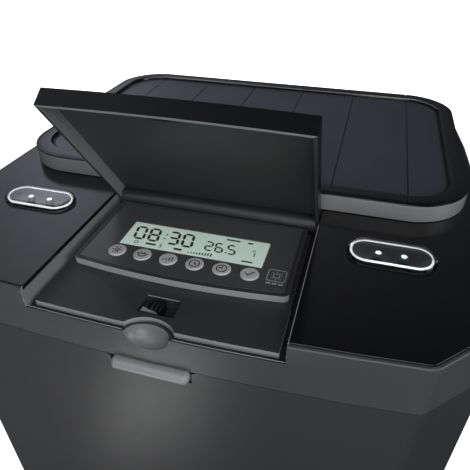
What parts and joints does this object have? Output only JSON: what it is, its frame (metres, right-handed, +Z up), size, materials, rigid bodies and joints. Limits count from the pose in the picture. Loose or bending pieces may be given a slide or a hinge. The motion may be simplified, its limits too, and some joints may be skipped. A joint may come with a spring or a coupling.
{
  "type": "automatic feeder",
  "caption": "Solar-topped automatic feeder: a food bin with a hinged top, control bay under a flip-up cover, light windows and a front outlet.",
  "frame": {"origin": "bottom centre of the box of the whole part, on the floor under the feet", "axes": "+X to the right seen from the front, +Y from the front to the rear hinge, +Z up"},
  "size_m": [0.316, 0.3312, 0.3734],
  "materials": {
    "casing_charcoal": "moulded ABS, satin charcoal",
    "deck_gloss": "polished ABS, piano black",
    "satin_grey": "moulded ABS, satin grey",
    "dark_moulding": "moulded ABS, fine spark texture",
    "overlay_film": "printed polycarbonate film",
    "display_glass": "liquid crystal glass, grey-green",
    "key_grey": "silicone-feel keycap, printed symbol",
    "solar_cell": "silicon cell, dark slate blue",
    "solar_glass": "low-iron cover glass",
    "clear_lens": "clear moulded polycarbonate",
    "circuit_board": "epoxy board with solder mask",
    "pin_steel": "turned stainless steel",
    "motor_steel": "zinc-plated can",
    "foot_rubber": "moulded rubber",
    "food_plastic": "food-grade polypropylene, white",
    "rotor_plastic": "moulded acetal, grey",
    "battery_case": "shrink-wrapped battery, blue"
  },
  "bodies": {
    "bin": {"bin_shell": "casing_charcoal", "base_plate": "dark_moulding", "hopper": "food_plastic", "hopper_gasket": "foot_rubber", "foot_1": "foot_rubber", "foot_2": "foot_rubber", "foot_3": "foot_rubber", "foot_4": "foot_rubber", "base_screw_1": "pin_steel", "base_screw_2": "pin_steel", "base_screw_3": "pin_steel", "base_screw_4": "pin_steel", "dosing_housing": "food_plastic", "dosing_motor": "motor_steel", "thrower_housing": "dark_moulding", "thrower_motor": "motor_steel", "battery_pack": "battery_case", "power_socket": "dark_moulding", "hinge_pin_left": "pin_steel", "hinge_pin_right": "pin_steel"},
    "top": {"top_housing": "casing_charcoal", "deck_plate": "deck_gloss", "underside_plate": "dark_moulding", "latch_catch": "pin_steel", "main_board": "circuit_board", "control_tray": "dark_moulding", "module_case": "satin_grey", "module_overlay": "overlay_film", "lcd_panel": "display_glass", "key_board": "circuit_board", "switch_body": "dark_moulding", "cover_pin_left": "pin_steel", "cover_pin_right": "pin_steel", "light_lens_left": "clear_lens", "light_lens_right": "clear_lens", "light_board_left": "circuit_board", "light_board_right": "circuit_board", "solar_base": "satin_grey", "solar_frame": "deck_gloss", "solar_glass": "solar_glass", "solar_cell_1": "solar_cell", "solar_cell_2": "solar_cell", "solar_cell_3": "solar_cell", "solar_cell_4": "solar_cell", "solar_cell_5": "solar_cell", "solar_cell_6": "solar_cell", "solar_cell_7": "solar_cell"},
    "cover": {"control_cover": "deck_gloss"},
    "latch": {"latch_bar": "satin_grey"},
    "rotor": {"dosing_rotor": "rotor_plastic"},
    "thrower": {"thrower_disc": "rotor_plastic"},
    "knob": {"power_knob": "deck_gloss"},
    "key_light": {"key_light": "key_grey"},
    "key_feed": {"key_feed": "key_grey"},
    "key_volume": {"key_volume": "key_grey"},
    "key_hour": {"key_hour": "key_grey"},
    "key_minute": {"key_minute": "key_grey"},
    "key_set": {"key_set": "key_grey"}
  },
  "joints": [
    {"name": "top_hinge", "type": "hinge", "parent": "bin", "child": "top", "pos_m": [0, 0.16215, 0.26], "axis": [-1, 0, 0], "range_deg": [0, 80]},
    {"name": "cover_hinge", "type": "hinge", "parent": "top", "child": "cover", "pos_m": [0, -0.05505, 0.2837], "axis": [-1, 0, 0], "range_deg": [-53.8, 31]},
    {"name": "latch_press", "type": "slide", "parent": "bin", "child": "latch", "axis": [0, 1, 0], "range_m": [0, 0.0025], "stiffness_N_per_m": 600},
    {"name": "power_slide", "type": "slide", "parent": "top", "child": "knob", "axis": [1, 0, 0], "range_m": [0, 0.005]},
    {"name": "rotor_spin", "type": "hinge", "parent": "bin", "child": "rotor", "pos_m": [0, -0.08165, 0.1006], "axis": [1, 0, 0], "continuous": true},
    {"name": "thrower_spin", "type": "hinge", "parent": "bin", "child": "thrower", "pos_m": [0, -0.08165, 0.038], "axis": [0, 0, 1], "continuous": true},
    {"name": "key_light_press", "type": "slide", "parent": "top", "child": "key_light", "axis": [0, 0, -1], "range_m": [0, 0.0008], "stiffness_N_per_m": 500},
    {"name": "key_feed_press", "type": "slide", "parent": "top", "child": "key_feed", "axis": [0, 0, -1], "range_m": [0, 0.0008], "stiffness_N_per_m": 500},
    {"name": "key_volume_press", "type": "slide", "parent": "top", "child": "key_volume", "axis": [0, 0, -1], "range_m": [0, 0.0008], "stiffness_N_per_m": 500},
    {"name": "key_hour_press", "type": "slide", "parent": "top", "child": "key_hour", "axis": [0, 0, -1], "range_m": [0, 0.0008], "stiffness_N_per_m": 500},
    {"name": "key_minute_press", "type": "slide", "parent": "top", "child": "key_minute", "axis": [0, 0, -1], "range_m": [0, 0.0008], "stiffness_N_per_m": 500},
    {"name": "key_set_press", "type": "slide", "parent": "top", "child": "key_set", "axis": [0, 0, -1], "range_m": [0, 0.0008], "stiffness_N_per_m": 500}
  ]
}
